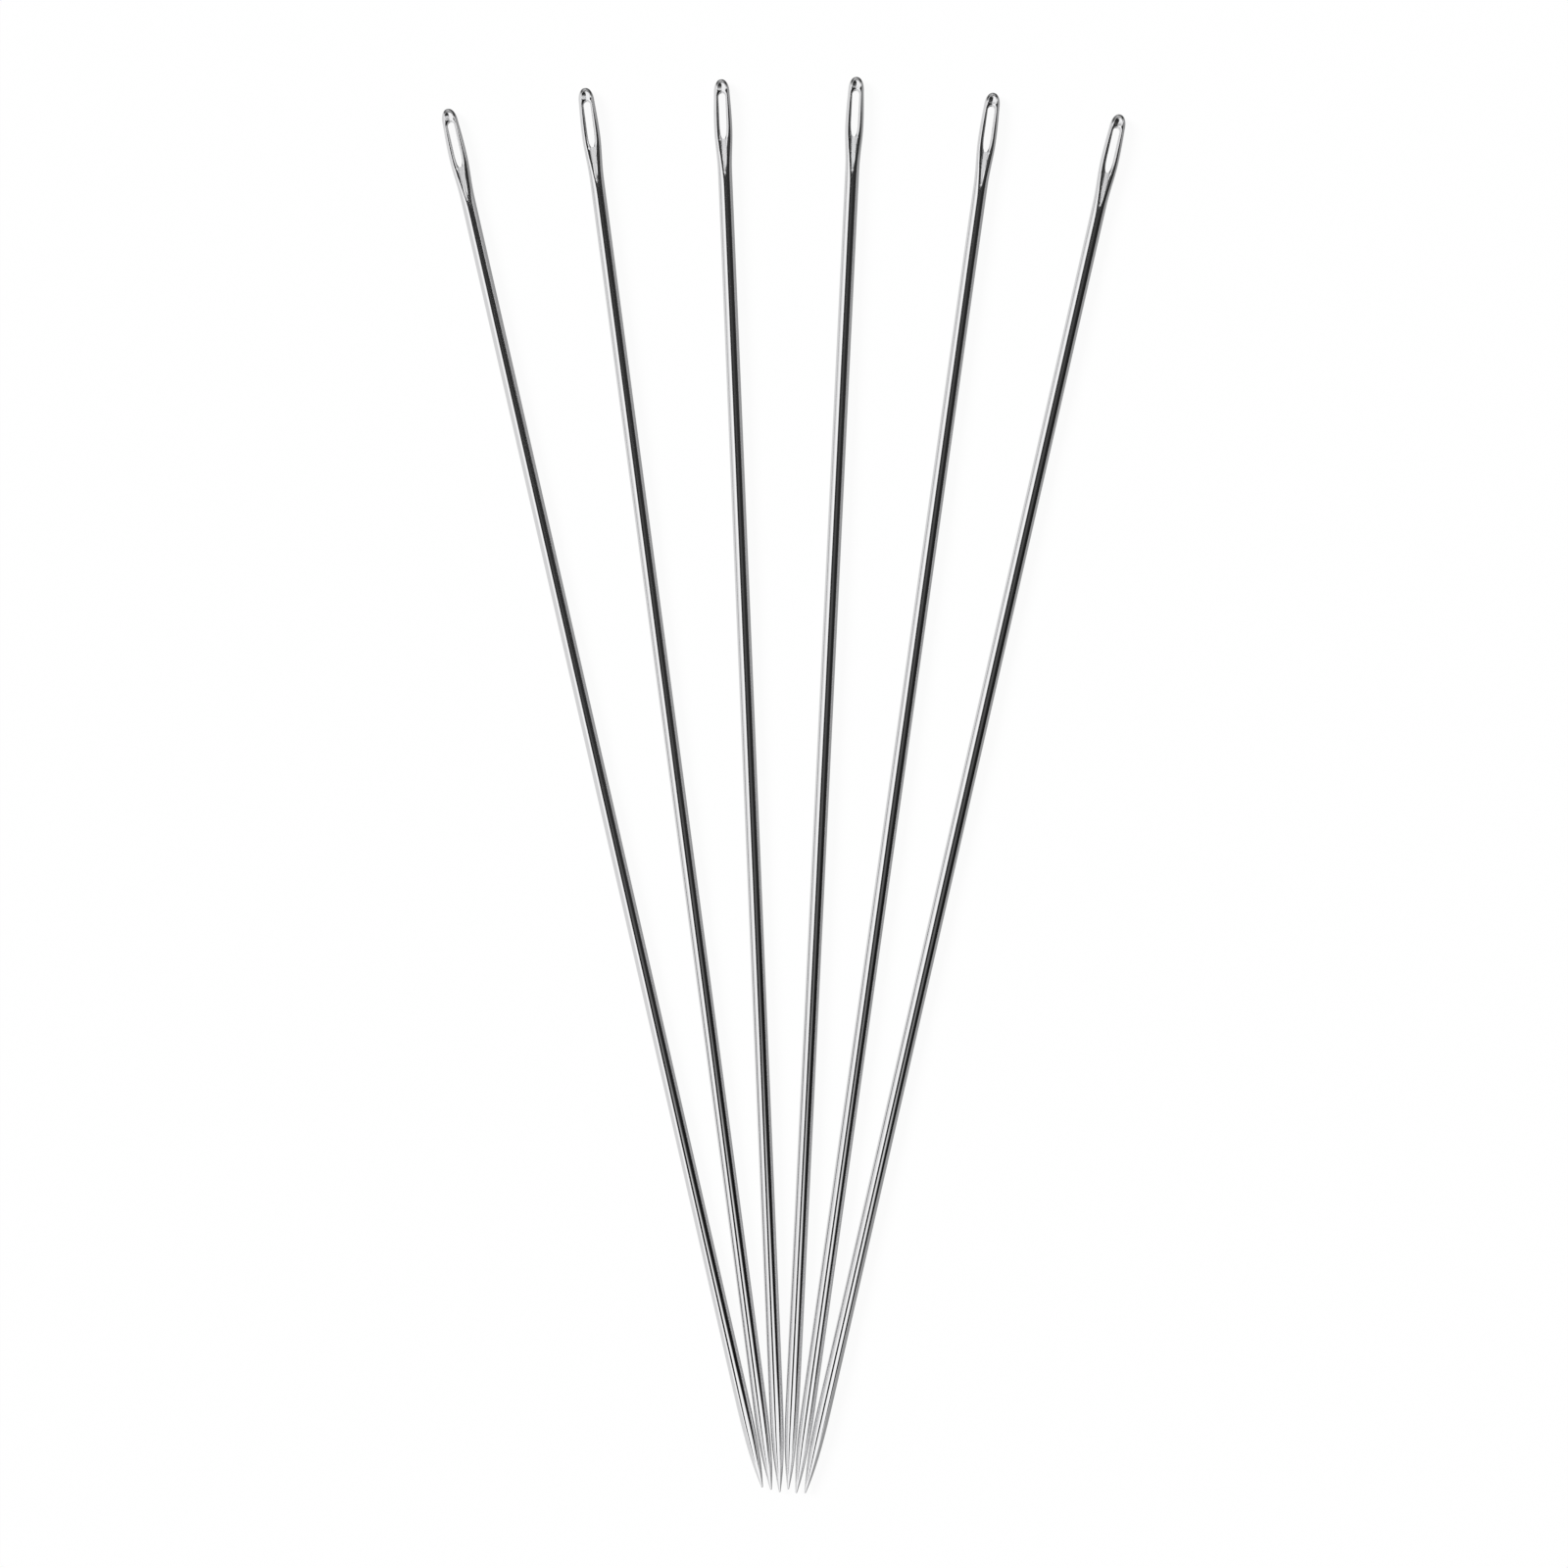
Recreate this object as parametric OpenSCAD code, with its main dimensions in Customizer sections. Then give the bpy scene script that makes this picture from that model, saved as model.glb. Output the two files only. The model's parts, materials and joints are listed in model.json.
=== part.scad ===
// A set of six long yarn needles, laid in a fan with their points together.
// Each needle is one length of steel wire: a round shank with a long ground
// point, and a pressed eye end with a gutter above and below the eye.
// Here each needle has two solids, its eye end and its shank, face to face.

/* [Needle] */
// Length over all, from the top of the eye end to the tip
needle_length = 150; // [80:1:200]
// Diameter of the round shank
shank_d = 1.5; // [1:0.05:2.5]
// Length of the taper that ends in the point
point_length = 13.2; // [8:0.1:20]
// Diameter of the rounded tip
tip_d = 0.16; // [0.05:0.01:0.6]

/* [Eye end] */
// Greatest width, across the eye
head_w = 1.93; // [1.7:0.01:2.6]
// Width where the rounded top meets the sides
shoulder_w = 1.67; // [1.4:0.01:2.2]
// Thickness between the two pressed faces
head_t = 1.28; // [0.8:0.01:1.6]
// Length of the rounded top
nose_length = 1.5; // [0.8:0.05:2.5]

/* [Eye] */
// Metal between the top of the needle and the eye
eye_top = 1.42; // [1:0.02:3]
// Length of the eye
eye_length = 4.97; // [3:0.05:8]
// Width of the eye
eye_w = 0.75; // [0.4:0.01:1]
// Width of the rounded-off edge of the eye, on each face
eye_edge = 0.14; // [0.02:0.01:0.25]

/* [Gutters] */
// Length of the gutter below the eye
gutter_length = 3.85; // [2:0.05:8]
// Width of the gutter where it meets the lower end of the eye
gutter_w = 0.58; // [0.2:0.01:0.8]
// Depth of the gutter where it meets the lower end of the eye
gutter_depth = 0.26; // [0.05:0.01:0.35]
// Width of the groove above the eye
groove_w = 0.7; // [0.2:0.01:0.9]
// Depth of the groove above the eye
groove_depth = 0.3; // [0.05:0.01:0.35]

/* [Fan] */
// Angle from each needle to the next
fan_step = 5.15; // [4:0.05:9]
// Space left between two needles where they come closest
needle_gap = 0.06; // [0.02:0.01:1]

/* [Hidden] */
$fn = 64;

// How each needle lies off the even fan: its turn in degrees, and how far its
// tip lies above the lowest tip
lean = [0, -0.15, -0.2, -0.2, -0.3, 0];
tip_up = [0.6, 0.35, 0.1, 0.4, 0, 0];
needles = len(lean);

// Distances down from the top of the needle
eye_end = eye_top + eye_length;
gutter_end = eye_end + gutter_length;
plain_below = 0.2;
head_length = gutter_end + plain_below;
// The sides are widest three quarters of the way down the eye
widest_at = eye_top + 0.75 * eye_length;

shank_r = shank_d / 2;
// How the taper rounds into the shank: 1 is a straight cone
point_round = 3.8;
face_z = min(head_t, shank_d) / 2;
nose_blunt = 2.2;
neck_blunt = 1.25;
over = 1;

wire_colour = [0.76, 0.77, 0.78];

// Half the width of the eye end, at a distance down from its top
function nose_r(s) =
    shoulder_w / 2 * pow(1 - pow(1 - s / nose_length, nose_blunt), 1 / nose_blunt);
function swell_r(s) =
    (shoulder_w + (head_w - shoulder_w)
    * sin(90 * (s - nose_length) / (widest_at - nose_length))) / 2;
function neck_r(s) = shank_r + (head_w / 2 - shank_r)
    * pow((1 + cos(180 * (s - widest_at) / (gutter_end - widest_at))) / 2, neck_blunt);

head_side = concat(
    [for (i = [0:9]) let (s = nose_length * (1 - cos(10 * i))) [nose_r(s), s]],
    [for (i = [1:5]) let (s = nose_length + (widest_at - nose_length) * i / 5)
        [swell_r(s), s]],
    [for (i = [1:10]) let (s = widest_at + (gutter_end - widest_at) * i / 10)
        [neck_r(s), s]]);

// Half the thickness of the point, at a distance up from its tip
function point_r(d) = d >= point_length ? shank_r
    : tip_d / 2 + (shank_r - tip_d / 2) * (1 - pow(1 - d / point_length, point_round));

// Half of the eye's outline, from its top end to its lower end, grown by an edge
top_round = 0.4 * eye_w / 0.75;
low_taper = eye_length * 0.4;
function eye_half(grow) = concat(
    [for (a = [0:15:90])
        [(eye_w / 2 + grow) * sin(a), -eye_top - top_round + (top_round + grow) * cos(a)]],
    [for (a = [0:10:90])
        [(eye_w / 2 + grow) * cos(a), -eye_end + low_taper - (low_taper + grow) * sin(a)]]);
function eye_outline(grow) = concat(eye_half(grow),
    [for (i = [len(eye_half(grow)) - 2:-1:1]) [-eye_half(grow)[i][0], eye_half(grow)[i][1]]]);

// Where each needle lies. Its tip is set beside the one before it, so that the
// two stay needle_gap apart at each level up their points, and past them
level = 0.1;
past = 2;
function turn(i) = fan_step * ((needles - 1) / 2 - i) + lean[i];
function half_at(i, y) = point_r((y - tip_up[i]) / cos(turn(i)));
function across(i, y) = -(y - tip_up[i]) * tan(turn(i));
function pitch(i) = max([for (y = [max(tip_up[i - 1], tip_up[i]):level:point_length + past])
    (half_at(i - 1, y) + half_at(i, y) + needle_gap) / cos((turn(i - 1) + turn(i)) / 2)
    + across(i - 1, y) - across(i, y)]);
function tip_along(i) = i == 0 ? 0 : tip_along(i - 1) + pitch(i);

// The middle of the whole fan, which the origin lies under
function edge_x(i, side) = [for (p = head_side)
    tip_along(i) - (needle_length - p[1]) * sin(turn(i)) + side * p[0] * cos(turn(i))];
middle_x = (min(edge_x(0, -1)) + max(edge_x(needles - 1, 1))) / 2;
middle_y = max([for (i = [0:needles - 1]) tip_up[i] + needle_length * cos(turn(i))]) / 2;

module laid(i) {
    translate([tip_along(i) - middle_x, tip_up[i] - middle_y, shank_r])
        rotate([0, 0, turn(i)]) translate([0, needle_length, 0]) children();
}

// The round shank, from the end of the eye end to the tip
module shank() {
    steps = 16;
    point = [for (i = [0:steps])
        let (d = point_length * (1 - pow(i / steps, 2 / point_round)))
        [point_r(d), needle_length - max(d, tip_d / 2)]];
    tip = [for (a = [15:15:75])
        [tip_d / 2 * cos(a), needle_length - tip_d / 2 * (1 - sin(a))]];
    rotate([90, 0, 0]) rotate_extrude()
        polygon(concat([[0, head_length], [shank_r, head_length]], point, tip,
            [[0, needle_length]]));
}

// The metal that the press takes off one face of the eye end
module pressed_face() {
    sweep = head_length - eye_end;
    rise = shank_r - face_z + 0.01;
    press_r = (sweep * sweep + rise * rise) / (2 * rise);
    translate([-head_w, -eye_end, face_z]) cube([2 * head_w, eye_end + over, over]);
    intersection() {
        translate([-head_w, -eye_end, face_z + press_r]) rotate([0, 90, 0])
            cylinder(r = press_r, h = 2 * head_w, $fn = 360);
        translate([-head_w, -head_length, face_z])
            cube([2 * head_w, head_length - eye_end + 0.01, over]);
    }
}

// The eye, cut right through, with its edge eased on one face
module eye() {
    translate([0, 0, -head_w]) linear_extrude(2 * head_w) polygon(eye_outline(0));
}
module eased_edge() {
    thin = 0.01;
    hull() {
        translate([0, 0, face_z - eye_edge]) linear_extrude(thin) polygon(eye_outline(0));
        translate([0, 0, face_z]) linear_extrude(thin) polygon(eye_outline(eye_edge));
    }
}

// A V that widens upwards, along a line that starts at a point on the middle
// plane and climbs at an angle towards the shank
module v_cut(length, half_w, depth, climb) {
    rotate([90 + climb, 0, 0]) linear_extrude(length)
        polygon([[0, 0], [half_w / depth * over, over], [-half_w / depth * over, over]]);
}
module gutter() {
    low = face_z - gutter_depth;
    climb = atan((shank_r - low) / (gutter_end - eye_end));
    translate([0, low_taper - eye_end, low - low_taper * tan(climb)])
        v_cut(head_length, gutter_w / 2, gutter_depth, -climb);
}
module groove() {
    translate([0, over, face_z - groove_depth])
        v_cut(eye_top + over + top_round, groove_w / 2, groove_depth, 0);
}

module head() {
    difference() {
        rotate([90, 0, 0]) rotate_extrude()
            polygon(concat(head_side, [[shank_r, head_length], [0, head_length]]));
        eye();
        for (face = [0, 1]) mirror([0, 0, face]) {
            pressed_face();
            eased_edge();
            gutter();
            groove();
        }
    }
}

module needle_1_shank() { color(wire_colour) laid(0) shank(); }
module needle_1_head() { color(wire_colour) laid(0) head(); }
module needle_2_shank() { color(wire_colour) laid(1) shank(); }
module needle_2_head() { color(wire_colour) laid(1) head(); }
module needle_3_shank() { color(wire_colour) laid(2) shank(); }
module needle_3_head() { color(wire_colour) laid(2) head(); }
module needle_4_shank() { color(wire_colour) laid(3) shank(); }
module needle_4_head() { color(wire_colour) laid(3) head(); }
module needle_5_shank() { color(wire_colour) laid(4) shank(); }
module needle_5_head() { color(wire_colour) laid(4) head(); }
module needle_6_shank() { color(wire_colour) laid(5) shank(); }
module needle_6_head() { color(wire_colour) laid(5) head(); }

needle_1_shank();
needle_1_head();
needle_2_shank();
needle_2_head();
needle_3_shank();
needle_3_head();
needle_4_shank();
needle_4_head();
needle_5_shank();
needle_5_head();
needle_6_shank();
needle_6_head();
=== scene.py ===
import bisect
import json
import math

import bpy
from mathutils import Matrix, Vector


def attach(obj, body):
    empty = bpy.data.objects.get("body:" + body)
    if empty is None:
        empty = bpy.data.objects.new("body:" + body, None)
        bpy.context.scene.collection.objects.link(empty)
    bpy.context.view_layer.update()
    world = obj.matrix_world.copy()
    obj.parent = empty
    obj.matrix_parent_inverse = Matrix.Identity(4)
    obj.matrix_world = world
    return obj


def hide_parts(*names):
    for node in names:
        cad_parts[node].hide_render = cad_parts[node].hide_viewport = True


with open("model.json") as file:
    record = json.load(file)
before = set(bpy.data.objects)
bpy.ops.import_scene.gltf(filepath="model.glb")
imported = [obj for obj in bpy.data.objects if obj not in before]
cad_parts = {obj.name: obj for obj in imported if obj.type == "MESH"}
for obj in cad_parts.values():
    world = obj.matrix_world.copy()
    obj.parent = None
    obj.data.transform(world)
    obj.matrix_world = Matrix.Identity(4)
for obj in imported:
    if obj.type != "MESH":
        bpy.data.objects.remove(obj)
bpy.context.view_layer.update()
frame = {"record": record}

# Camera. It looks straight down on the needles, from far enough away that the fan
# keeps its shape, with the eye ends at the top of the picture.
MM = 0.001
picture_width = 166.6 * MM
picture_middle = Vector((0.035 * MM, 0.109 * MM, 0))
lens, sensor = 100, 36
camera_height = picture_width * lens / sensor
bpy.ops.object.camera_add(
    location=picture_middle + Vector((0, 0, camera_height)), rotation=(0, 0, 0)
)
camera = bpy.context.object
camera.data.lens = lens
camera.data.sensor_width = sensor
bpy.context.scene.camera = camera
bpy.context.scene.view_settings.view_transform = "Standard"


# The needle. One length of drawn steel wire: its top end is pressed a little flat,
# pierced with a long eye and given a gutter above and below the eye, to lead the yarn
# in. The other end is ground to a long point. Then it is polished and plated.

# Sizes are in millimetres, and s is always the distance down from the needle's top.
needle_length, wire_r = 150, 0.75
# The point. With a higher point_round it stays nearly as thick as the wire for longer.
point_length, point_round, tip_r = 13.2, 3.8, 0.08
# The outline of the head: a round nose, a shoulder, the widest place and the neck.
nose_length, nose_blunt, shoulder_r = 1.5, 2.2, 0.835
head_r, widest_at, neck_blunt = 0.965, 5.1475, 1.25
# The eye, with a rounded top and a long tapered lower end, and the bevel around it.
eye_from, eye_to, eye_r = 1.42, 6.39, 0.375
eye_top_round, top_blunt = 0.4, 2
eye_taper, taper_blunt = 1.99, 2.6
rim_low, rim_slope = 0.48, 0.81
# The crest is the line where the pressed face meets the bevel of the eye or a gutter.
# Outwards from it the face slopes down, more beside the eye than beside the gutter.
crest_z, face_slope, gutter_face_slope = 0.65, 0.28, 0.12
slope_change_from, slope_change_to = 5, 7
# The long gutter below the eye: it runs out upwards where the round shank starts.
gutter_to, gutter_low, gutter_flat, gutter_wall = 10.24, 0.38, 0.2, 2.2
# The short gutter above the eye, deepest at short_gutter_mid.
short_gutter_low, short_gutter_wall, short_gutter_mid = 0.42, 0.42, 0.75
short_gutter_rise, short_gutter_fall = 1.0, 0.18
# Above this place the short gutter is cut into the head, and below it the long one.
gutters_meet = 4
round_from = gutter_to + 1.5
edge_crisp = 20
# Smaller heights and slopes than these count as none.
no_height, no_slope = 1e-6, 1e-9


def between(x, low, high):
    """How far x is from low to high, from 0 to 1, easing in and out."""
    t = min(max((x - low) / (high - low), 0), 1)
    return t * t * (3 - 2 * t)


def half_width(s):
    """Half the width of the needle."""
    if s < nose_length:
        return shoulder_r * (1 - (1 - s / nose_length) ** nose_blunt) ** (1 / nose_blunt)
    if s < widest_at:
        swell = math.sin(math.pi / 2 * (s - nose_length) / (widest_at - nose_length))
        return shoulder_r + (head_r - shoulder_r) * swell
    if s < gutter_to:
        fall = (1 + math.cos(math.pi * (s - widest_at) / (gutter_to - widest_at))) / 2
        return wire_r + (head_r - wire_r) * fall ** neck_blunt
    from_tip = needle_length - s
    if from_tip > point_length:
        return wire_r
    taper = tip_r + (wire_r - tip_r) * (1 - (1 - from_tip / point_length) ** point_round)
    if from_tip > tip_r:
        return taper
    return taper - tip_r + math.sqrt(max(tip_r**2 - (tip_r - from_tip) ** 2, 0))


def half_of_eye(s, wide, grown):
    """Half the width of the eye's outline, wide in its straight part, when each end of it
    is grown by some distance."""
    if s < eye_from + eye_top_round:
        t, blunt = (eye_from + eye_top_round - s) / (eye_top_round + grown), top_blunt
    else:
        t, blunt = max((s - eye_to + eye_taper) / (eye_taper + grown), 0), taper_blunt
    return wide * max(1 - t**blunt, 0) ** (1 / blunt)


def long_gutter(s):
    """Height of its floor, half the width of its flat part, and height of the face."""
    along = (s - eye_to) / (gutter_to - eye_to)
    lower = max(along, 0)
    flat = gutter_flat * math.sqrt(max(1 - lower * lower, 0))
    face = crest_z + (wire_r - crest_z) * lower**3
    return gutter_low + (wire_r - gutter_low) * along, flat, face


def short_gutter_floor(s):
    """Height of the short gutter's floor."""
    climb = short_gutter_rise if s < short_gutter_mid else short_gutter_fall
    return short_gutter_low + climb * (s - short_gutter_mid) ** 2


def crest_at(s):
    """Distance from the middle line to the crest."""
    bevel = (crest_z - rim_low) / rim_slope
    beside_eye = half_of_eye(s, eye_r + bevel, bevel)
    beside_gutter = 0
    if s < eye_from:
        beside_gutter = (crest_z - short_gutter_floor(s)) / short_gutter_wall
    elif gutters_meet <= s < gutter_to:
        floor, flat, face = long_gutter(s)
        beside_gutter = flat + (face - floor) / gutter_wall
    return max(beside_gutter, beside_eye)


def off_eye(x, s):
    """Distance from the edge of the eye, 0 inside it."""
    round_s, reach, blunt = eye_from + eye_top_round, eye_top_round, top_blunt
    if s > round_s:
        round_s, reach, blunt = max(min(eye_to - eye_taper, s), round_s), eye_taper, taper_blunt
    a, b = x / eye_r, abs(s - round_s) / reach
    q = (a**blunt + b**blunt) ** (1 / blunt)
    steep = math.hypot(a ** (blunt - 1) / eye_r, b ** (blunt - 1) / reach)
    return max((q - 1) * q ** (blunt - 1) / max(steep, no_slope), 0)


def top_z(x, s):
    """Height of the needle's upper side: the round flank, the pressed face and what is
    cut into it, with the edges between them rounded over."""
    w = half_width(s)
    flank = math.sqrt(max(w * w - x * x, 0))
    if s > round_from or flank < no_height:
        return flank
    floor, flat, face = long_gutter(s)
    slope_change = between(s, slope_change_from, slope_change_to)
    slope = face_slope + (gutter_face_slope - face_slope) * slope_change
    heights = [flank, face - slope * (x - crest_at(s)), rim_low + rim_slope * off_eye(x, s)]
    if s > gutters_meet:
        heights.append(floor + gutter_wall * max(x - flat, 0))
    else:
        heights.append(short_gutter_floor(s) + short_gutter_wall * x)
    least = min(heights)
    return least * sum((least / h) ** edge_crisp for h in heights) ** (-1 / edge_crisp)


# The mesh is a tube of rows, each of them a ring. Columns 0 to quarter go over a quarter
# of a ring, from the side over the crest and the edge of the eye to the middle line.
around = 96
quarter = around // 4
ridge_column, eye_column = 9, 19
# The rows from eye_row_from to eye_row_to pass beside the eye, and the first and the last
# of them bend round its two ends.
eye_row_from, eye_row_to = 1.537, 6.3
eye_row_middle, eye_row_half = (eye_row_from + eye_row_to) / 2, (eye_row_to - eye_row_from) / 2
nose_rows, eye_rows, gutter_rows, point_rows = 24, 60, 44, 44
run_out_rows, run_out_step, shank_rows = 10, 0.15, 8
gutter_bunching, point_bunching, tip_row_parts = 1.4, 1.6, (0.6, 0.25, 0.05)
shank_from, shank_to = gutter_to + 1.6, needle_length - point_length
rows = [eye_row_from * (1 - math.cos(math.pi / 2 * i / nose_rows)) for i in range(1, nose_rows)]
first_eye_row = len(rows)
rows += [eye_row_middle - eye_row_half * math.cos(math.pi * i / eye_rows) for i in range(eye_rows + 1)]
last_eye_row = len(rows) - 1
for i in range(1, gutter_rows + 1):
    rows.append(eye_row_to + (gutter_to - eye_row_to) * (i / gutter_rows) ** gutter_bunching)
rows += [gutter_to + run_out_step * i for i in range(1, run_out_rows + 1)]
rows += [shank_from + (shank_to - shank_from) * i / shank_rows for i in range(shank_rows + 1)]
for i in range(1, point_rows):
    rows.append(needle_length - point_length * (1 - i / point_rows) ** point_bunching)
rows += [needle_length - tip_r * part for part in tip_row_parts]
rows.sort()

# The crest's column stays off the middle line by least_crest and within most_crest of the
# half width. Below the eye the columns are even from spread_to down, and the rows straight
# from bend_to down. From closing_from to the gutter's end the space between the crests closes.
least_crest, most_crest = 0.3, 0.8
spread_to, bend_to, closing_from = 7, 7.5, 8


def section_point(row, column):
    """One point of the top right quarter of a row: across, along and up."""
    s = rows[row]
    w, k = half_width(s), column / quarter
    c = crest_at(s)
    if s < closing_from:
        c = max(c, least_crest)
    c = min(c, w * most_crest)
    closing = between(s, closing_from, gutter_to)
    share = ridge_column / quarter * (1 - closing) + closing
    if k <= share:
        x = w * math.cos(math.acos(c / w) * k / share)
        return x, s, top_z(x, s) if column else 0
    if s > closing_from:
        x = c * (1 - k) / (1 - share)
        return x, s, top_z(x, s)
    # slit is where eye_column lies, and bend is how far the row curves round an end of the eye.
    if row < first_eye_row:
        evenly = 1 - s / eye_row_from
        slit = half_of_eye(eye_row_from, eye_r, 0) * c / crest_at(eye_row_from)
        bend = (eye_from - eye_row_from) * s / eye_row_from
    elif row > last_eye_row:
        evenly = between(s, eye_row_to, spread_to)
        last_slit = half_of_eye(eye_row_to, eye_r, 0)
        slit = last_slit + (c / 3 - last_slit) * evenly
        bend = (eye_to - eye_row_to) * (1 - between(s, eye_row_to, bend_to))
    else:
        evenly = 0
        slit = half_of_eye(s, eye_r, 0)
        bend = (eye_from if row == first_eye_row else eye_to) - s
    if column <= eye_column:
        t = (column - ridge_column) / (eye_column - ridge_column)
        t = t * evenly + math.sin(math.pi / 2 * t) * (1 - evenly)
        x = c - (c - slit) * t
    else:
        t = (column - eye_column) / (quarter - eye_column)
        x = slit * (1 - t)
        s += bend * math.sqrt(1 - (1 - t) ** 2)
    return x, s, top_z(x, s)


bpy.ops.object.select_all(action="DESELECT")
bpy.ops.mesh.primitive_circle_add(
    vertices=around, radius=wire_r, location=(0, 0, 0), rotation=(math.pi / 2, 0, 0)
)
needle = bpy.context.object
bpy.ops.object.transform_apply(location=True, rotation=True, scale=True)
bpy.ops.object.mode_set(mode="EDIT")
bpy.ops.mesh.select_all(action="SELECT")
bpy.ops.transform.translate(value=(0, -rows[0], 0))
for above, below in zip(rows, rows[1:]):
    bpy.ops.mesh.extrude_edges_move(TRANSFORM_OT_translate={"value": (0, above - below, 0)})
bpy.ops.object.mode_set(mode="OBJECT")

# Every ring is pulled into the shape that the needle has at its row.
row_edges = [(above + below) / 2 for above, below in zip(rows, rows[1:])]
first_ring, last_ring, eye_corners = set(), set(), set()
for v in needle.data.vertices:
    row = bisect.bisect(row_edges, -v.co.y)
    column = round(math.atan2(abs(v.co.z), abs(v.co.x)) / (math.pi / 2) * quarter)
    x, s, z = section_point(row, column)
    right = 0 if column == quarter else math.copysign(1, v.co.x)
    up = 0 if column == 0 else math.copysign(1, v.co.z)
    v.co = (right * x, -s, up * z)
    if row == 0:
        first_ring.add(v.index)
    if row == len(rows) - 1:
        last_ring.add(v.index)
    if first_eye_row <= row <= last_eye_row and column >= eye_column:
        eye_corners.add(v.index)


def pick(mesh, corners):
    """Selects these corners, and the edges and faces that have no other corner."""
    for v in mesh.vertices:
        v.select = v.index in corners
    for e in mesh.edges:
        e.select = all(i in corners for i in e.vertices)
    for f in mesh.polygons:
        f.select = all(i in corners for i in f.vertices)


# Both ends close in one point each. Then the eye is cut through and its wall is made.
eye_wall_cuts = 5
for ring, pole in ((first_ring, 0), (last_ring, needle_length)):
    pick(needle.data, ring)
    bpy.ops.object.mode_set(mode="EDIT")
    bpy.ops.mesh.extrude_edges_move(TRANSFORM_OT_translate={"value": (0, 0, 0)})
    bpy.ops.mesh.merge(type="CENTER")
    bpy.ops.object.mode_set(mode="OBJECT")
    needle.data.vertices[-1].co = (0, -pole, 0)
pick(needle.data, eye_corners)
bpy.ops.object.mode_set(mode="EDIT")
bpy.ops.mesh.delete(type="FACE")
bpy.ops.mesh.select_non_manifold()
bpy.ops.mesh.bridge_edge_loops(number_cuts=eye_wall_cuts)
bpy.ops.mesh.select_all(action="SELECT")
bpy.ops.mesh.normals_make_consistent(inside=False)
bpy.ops.object.mode_set(mode="OBJECT")
bpy.ops.object.shade_smooth()

# on_needle_mm is a place on the needle before it is laid in the fan, so that the finish
# follows each needle. pressed is 1 between the crests, where the polish is less even.
place = needle.data.attributes.new("on_needle_mm", "FLOAT_VECTOR", "POINT")
for v in needle.data.vertices:
    place.data[v.index].vector = v.co
pressed_fade = 0.12
pressed = needle.data.attributes.new("pressed", "FLOAT", "POINT")
for v in needle.data.vertices:
    s, x = -v.co.y, abs(v.co.x)
    if s < gutter_to:
        pressed.data[v.index].value = 1 - between(x, crest_at(s) - pressed_fade, crest_at(s))


def linear(hex_colour):
    """The linear colour of an sRGB hex value."""
    parts = [int(hex_colour[i : i + 2], 16) / 255 for i in (1, 3, 5)]
    return [c / 12.92 if c <= 0.04045 else ((c + 0.055) / 1.055) ** 2.4 for c in parts] + [1]


def add(tree, kind, settings=(), **inputs):
    """Adds a node with its settings; an input is a value or another node's output. _0 is
    an input's number, and in a name _ stands for a space."""
    node = tree.nodes.new(kind)
    for name, value in dict(settings).items():
        setattr(node, name, value)
    for name, value in inputs.items():
        key = int(name[1:]) if name[0] == "_" and name[1:].isdigit() else name.replace("_", " ")
        socket = node.inputs[key]
        if isinstance(value, bpy.types.NodeSocket):
            tree.links.new(value, socket)
        else:
            socket.default_value = value
    return node


# Nickel-plated steel: drawn wire, polished lengthwise and bright plated. It gives the eye
# a clean mirror with hard-edged bands, a little drawn out along the needle.
# Real polishing lines are too fine to show, so here one is about 0.12 mm wide and 8 long.
lines_per_mm_across, lines_per_mm_along = 8, 0.12
polished, less_polished, pressed_rougher = 0.06, 0.12, 0.12
line_depth, line_strength = 0.003 * MM, 0.3
nickel_colour = "#DCDCDD"
nickel = bpy.data.materials.new("nickel_plated_steel")
nickel.use_nodes = True
tree = nickel.node_tree
tree.nodes.clear()
on_needle = add(tree, "ShaderNodeAttribute", {"attribute_name": "on_needle_mm"})
in_gutter = add(tree, "ShaderNodeAttribute", {"attribute_name": "pressed"})
drawn = add(
    tree, "ShaderNodeMapping", Vector=on_needle.outputs["Vector"],
    Scale=(lines_per_mm_across, lines_per_mm_along, lines_per_mm_across),
)
streaks = add(tree, "ShaderNodeTexNoise", Vector=drawn.outputs[0], Scale=1.0, Detail=3.0)
rough = add(
    tree, "ShaderNodeMapRange", Value=streaks.outputs["Fac"], From_Min=0.3, From_Max=0.7,
    To_Min=polished, To_Max=less_polished,
)
rough_all = add(
    tree, "ShaderNodeMath", {"operation": "MULTIPLY_ADD"}, _0=in_gutter.outputs["Fac"],
    _1=pressed_rougher, _2=rough.outputs[0],
)
# Over the lower half the mirror leans towards the point: not at all at lean_from, by about
# 14 degrees where the point starts and 25 at its tip. That opens the white streak there.
# The bump only leans reflections, and the needle itself stays straight. Its height falls
# with the square of the distance from each start.
lean_from, lean_square, point_lean_square = 75, 0.002, 0.006
axes = add(tree, "ShaderNodeSeparateXYZ", Vector=on_needle.outputs["Vector"])
fall = 0.0
for start, square in ((lean_from, lean_square), (shank_to, point_lean_square)):
    past_start = add(
        tree, "ShaderNodeMath", {"operation": "MULTIPLY_ADD"}, _0=axes.outputs["Y"], _1=-1.0, _2=-start
    )
    past_start = add(tree, "ShaderNodeMath", {"operation": "MAXIMUM"}, _0=past_start.outputs[0], _1=0.0)
    squared = add(tree, "ShaderNodeMath", {"operation": "POWER"}, _0=past_start.outputs[0], _1=2.0)
    fall = add(
        tree, "ShaderNodeMath", {"operation": "MULTIPLY_ADD"}, _0=squared.outputs[0], _1=-square, _2=fall
    ).outputs[0]
lean = add(tree, "ShaderNodeBump", Height=fall, Strength=1.0, Distance=MM)
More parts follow.
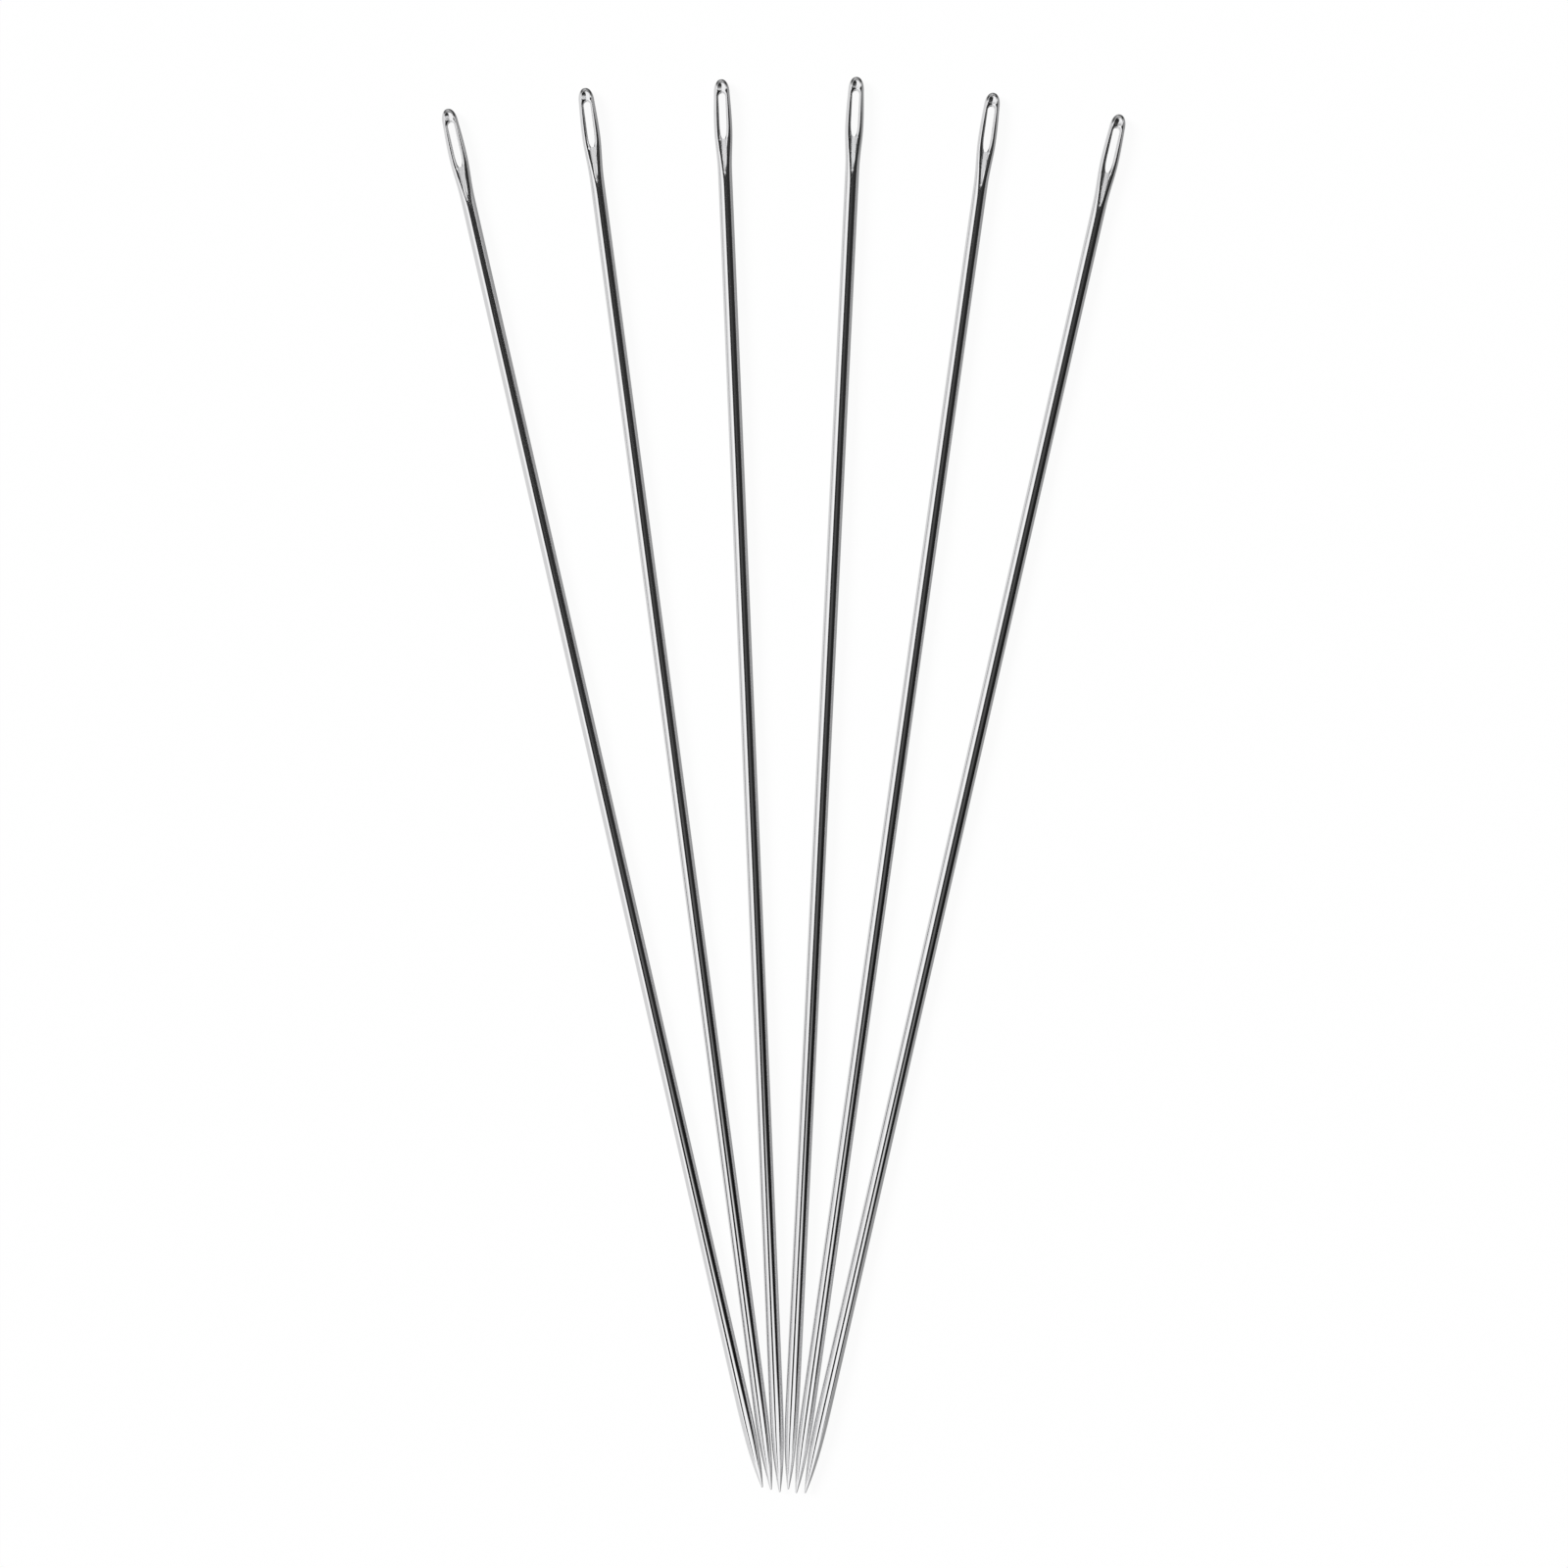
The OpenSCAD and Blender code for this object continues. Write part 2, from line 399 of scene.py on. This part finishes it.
lines = add(
    tree, "ShaderNodeBump", Height=streaks.outputs["Fac"], Strength=line_strength,
    Distance=line_depth, Normal=lean.outputs[0],
)
metal = add(
    tree, "ShaderNodeBsdfPrincipled", Base_Color=linear(nickel_colour), Metallic=1.0,
    Roughness=rough_all.outputs[0], Normal=lines.outputs[0],
)
add(tree, "ShaderNodeOutputMaterial", Surface=metal.outputs[0])
needle.data.materials.append(nickel)

# Six copies are laid in the fan, each on the pin of its own shank.
how_many = 6
mounts = {m["name"]: m for m in frame["record"]["mounts"]}
needle.data.transform(Matrix.Scale(MM, 4))
for number in range(1, how_many + 1):
    shank = mounts[f"needle_{number}_shank"]
    down = Vector(shank["axis"])
    shank_middle = gutter_to + shank["dims"]["length_mm"] / 2
    head_top = Vector(shank["pos_m"]) - down * shank_middle * MM
    piece = needle.copy()
    piece.data = needle.data.copy()
    piece.name = f"needle_{number}"
    bpy.context.collection.objects.link(piece)
    turn = math.atan2(down.x, -down.y)
    piece.data.transform(Matrix.Translation(head_top) @ Matrix.Rotation(turn, 4, "Z"))
    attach(piece, f"needle_{number}")
    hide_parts(f"needle_{number}_shank", f"needle_{number}_head")
bpy.data.objects.remove(needle)


# Floor and studio. The needles lie on a table covered with white paper, in a broad light
# from the left. Overhead hangs a dark card along the fan, open and white to both sides,
# and it is what the polished metal mirrors.
table_size = 6
bpy.ops.object.select_all(action="DESELECT")
bpy.ops.mesh.primitive_plane_add(size=table_size, location=(0, 0, 0))
table = bpy.context.object
table.name = "table"
table.visible_glossy = False

# White paper, matte. The camera sees it almost as pure white, with a trace of the shadows.
paper_colour, seen_white = "#F8F8F8", 0.95
paper = bpy.data.materials.new("white_paper")
paper.use_nodes = True
tree = paper.node_tree
tree.nodes.clear()
path = add(tree, "ShaderNodeLightPath")
seen = add(
    tree, "ShaderNodeMath", {"operation": "MULTIPLY"}, _0=path.outputs["Is Camera Ray"], _1=seen_white
)
matte = add(tree, "ShaderNodeBsdfDiffuse", Color=linear(paper_colour))
glow = add(tree, "ShaderNodeEmission", Color=linear("#FFFFFF"), Strength=1.0)
both = add(
    tree, "ShaderNodeMixShader", _0=seen.outputs[0], _1=matte.outputs[0], _2=glow.outputs[0]
)
add(tree, "ShaderNodeOutputMaterial", Surface=both.outputs[0])
table.data.materials.append(paper)

lamp_tilt, lamp_strength, lamp_spread = (-20, -50), 4.0, 25
bpy.ops.object.light_add(
    type="SUN", rotation=(math.radians(lamp_tilt[0]), math.radians(lamp_tilt[1]), 0)
)
lamp = bpy.context.object
lamp.data.energy = lamp_strength
lamp.data.angle = math.radians(lamp_spread)
lamp.visible_glossy = False

# What lies overhead. across is the angle to the right of straight up, and ahead is how far
# towards the eye ends a direction leans, over its height.
world = bpy.data.worlds.new("studio")
bpy.context.scene.world = world
world.use_nodes = True
tree = world.node_tree
tree.nodes.clear()
path = add(tree, "ShaderNodeLightPath")
direction = add(tree, "ShaderNodeTexCoord")
axes = add(tree, "ShaderNodeSeparateXYZ", Vector=direction.outputs["Generated"])
angle = add(tree, "ShaderNodeMath", {"operation": "ARCTAN2"}, _0=axes.outputs["X"], _1=axes.outputs["Z"])
across = add(
    tree, "ShaderNodeMapRange", Value=angle.outputs[0], From_Min=-math.pi, From_Max=math.pi,
    To_Min=0.0, To_Max=1.0,
)
least_height = 0.02
height = add(tree, "ShaderNodeMath", {"operation": "MAXIMUM"}, _0=axes.outputs["Z"], _1=least_height)
ahead = add(tree, "ShaderNodeMath", {"operation": "DIVIDE"}, _0=axes.outputs["Y"], _1=height.outputs[0])


def ramp(tree, fac, stops, low=-180, high=180):
    """A grey ramp from (place, level) stops. Its input is 0 at low and 1 at high."""
    node = add(tree, "ShaderNodeValToRGB", _0=fac)
    elements = node.color_ramp.elements
    for i, (place, level) in enumerate(stops):
        position = (place - low) / (high - low)
        element = elements[i] if i < 2 else elements.new(position)
        element.position = position
        element.color = (level, level, level, 1)
    return node


# The card across its width, in degrees: its end over the eye ends, its end over the points,
# and the open ceiling that shows past both ends.
white, left_grey, right_grey = 1.0, 0.72, 0.33
card_top = ramp(tree, across.outputs[0], [
    (-180, left_grey), (-69, left_grey), (-56, white), (-28.5, white), (-25.5, 0.035), (2, 0.035),
    (24, 0.03), (32, 0.026), (75, 0.026), (78, right_grey), (180, right_grey),
])
# Seen from the points the card swings to the left, by up to 15 degrees.
swing_from, swing_to, most_swing = -0.3, -0.8, 0.042
swing = add(
    tree, "ShaderNodeMapRange", Value=axes.outputs["Y"], From_Min=swing_from, From_Max=swing_to,
    To_Min=0.0, To_Max=most_swing,
)
swung = add(tree, "ShaderNodeMath", {"operation": "ADD"}, _0=across.outputs[0], _1=swing.outputs[0])
card_bottom = ramp(tree, swung.outputs[0], [
    (-180, left_grey), (-64, left_grey), (-51, white), (-28.7, white), (-26.3, 0.01), (-5, 0.015),
    (1, 0.16), (20, 0.16), (29, 0.05), (40, 0.008), (80, 0.008), (83, right_grey), (180, right_grey),
])
open_ceiling = ramp(tree, across.outputs[0], [
    (-180, left_grey), (-69, left_grey), (-56, white), (60, white), (78, right_grey), (180, right_grey),
])
# How far the card reaches beyond the points: least in its middle, where the white streak
# on the needles opens. The ramp holds a third of it, because its levels end at 1.
card_reach = ramp(tree, across.outputs[0], [
    (-180, 1), (-28, 1), (-18, 0.45), (-11, 0.33), (-4.5, 0.21), (-1, 0.175), (3, 0.14), (15, 0.14),
    (17.5, 0.175), (27, 0.21), (31, 0.26), (40, 0.33), (46, 0.45), (53, 0.9), (180, 1),
])
reach_scale, soft_edge = 3.0, 0.22
to_low_end = add(
    tree, "ShaderNodeMath", {"operation": "MULTIPLY_ADD"}, _0=card_reach.outputs[0],
    _1=reach_scale, _2=ahead.outputs[0],
)
before_low_end = add(
    tree, "ShaderNodeMapRange", {"interpolation_type": "SMOOTHSTEP"}, Value=to_low_end.outputs[0],
    From_Min=-soft_edge, From_Max=soft_edge, To_Min=0.0, To_Max=1.0,
)
# The card's other end is a shallow V above the eye ends, with a sharp edge.
top_end, top_end_slant, sharp_edge = 0.26, 0.26, 0.02
aside = add(tree, "ShaderNodeMath", {"operation": "ABSOLUTE"}, _0=axes.outputs["X"])
aside = add(tree, "ShaderNodeMath", {"operation": "DIVIDE"}, _0=aside.outputs[0], _1=height.outputs[0])
top_edge = add(
    tree, "ShaderNodeMath", {"operation": "MULTIPLY_ADD"}, _0=aside.outputs[0], _1=top_end_slant,
    _2=top_end,
)
to_top_end = add(
    tree, "ShaderNodeMath", {"operation": "SUBTRACT"}, _0=top_edge.outputs[0], _1=ahead.outputs[0]
)
before_top_end = add(
    tree, "ShaderNodeMapRange", Value=to_top_end.outputs[0], From_Min=-sharp_edge, From_Max=sharp_edge,
    To_Min=0.0, To_Max=1.0,
)
on_card = add(
    tree, "ShaderNodeMath", {"operation": "MULTIPLY"}, _0=before_low_end.outputs[0],
    _1=before_top_end.outputs[0],
)
change_from, change_to = 0.22, -0.35
towards_points = add(
    tree, "ShaderNodeMapRange", Value=ahead.outputs[0], From_Min=change_from, From_Max=change_to,
    To_Min=0.0, To_Max=1.0,
)
card = add(
    tree, "ShaderNodeMix", {"data_type": "RGBA"}, _0=towards_points.outputs[0],
    _6=card_top.outputs[0], _7=card_bottom.outputs[0],
)
overhead = add(
    tree, "ShaderNodeMix", {"data_type": "RGBA"}, _0=on_card.outputs[0], _6=open_ceiling.outputs[0],
    _7=card.outputs[2],
)
# Beyond the eye ends the room is dim, which gives the noses their dark outline. Towards the
# floor it is lighter again.
dim_wall = ramp(
    tree, axes.outputs["Y"], [(0.4, 1), (0.58, 0.12), (0.7, 0.14), (0.88, 0.5), (1, 0.6)], 0, 1
)
mirrored = add(
    tree, "ShaderNodeMix", {"data_type": "RGBA", "blend_type": "MULTIPLY"}, _0=1.0,
    _6=overhead.outputs[2], _7=dim_wall.outputs[0],
)
mirror_strength, fill_strength = 1.25, 0.25
mirror = add(tree, "ShaderNodeBackground", Color=mirrored.outputs[2], Strength=mirror_strength)
fill = add(tree, "ShaderNodeBackground", Color=linear("#FFFFFF"), Strength=fill_strength)
backdrop = add(tree, "ShaderNodeBackground", Color=linear("#FFFFFF"), Strength=1.0)
lit = add(
    tree, "ShaderNodeMixShader", _0=path.outputs["Is Glossy Ray"], _1=fill.outputs[0],
    _2=mirror.outputs[0],
)
shown = add(
    tree, "ShaderNodeMixShader", _0=path.outputs["Is Camera Ray"], _1=lit.outputs[0],
    _2=backdrop.outputs[0],
)
add(tree, "ShaderNodeOutputWorld", Surface=shown.outputs[0])
